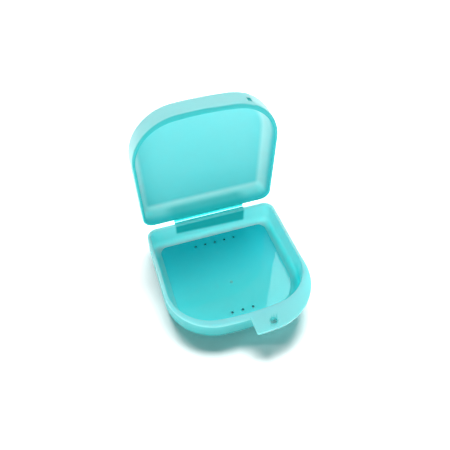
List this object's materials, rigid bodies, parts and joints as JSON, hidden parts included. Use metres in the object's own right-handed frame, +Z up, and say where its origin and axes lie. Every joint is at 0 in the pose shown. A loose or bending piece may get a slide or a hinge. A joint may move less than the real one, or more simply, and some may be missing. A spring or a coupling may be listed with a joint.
{
  "type": "retainer case",
  "caption": "Pocket case with a D-shaped vented tray, a domed lid on a living hinge, and a front tab with a cord hole, shown with the lid standing open.",
  "frame": {"origin": "middle of the flat foot under the tray, on the surface that the case stands on", "axes": "+Z up, +Y from the front towards the hinge, +X to the right as seen from the front"},
  "size_m": [0.078, 0.0951, 0.0883],
  "materials": {
    "shell_plastic": "translucent aqua polypropylene, satin walls and a polished floor",
    "lid_plastic": "translucent aqua polypropylene, satin",
    "hinge_film": "the same polypropylene, thin and paler where it flexes"
  },
  "bodies": {
    "tray": {"base_tray": "shell_plastic", "living_hinge": "hinge_film"},
    "lid": {"lid_cover": "lid_plastic"}
  },
  "joints": [
    {"name": "lid_hinge", "type": "hinge", "parent": "tray", "child": "lid", "pos_m": [0, 0.03689, 0.01515], "axis": [1, 0, 0], "range_deg": [-90, 90], "deforming": ["living_hinge"]}
  ]
}
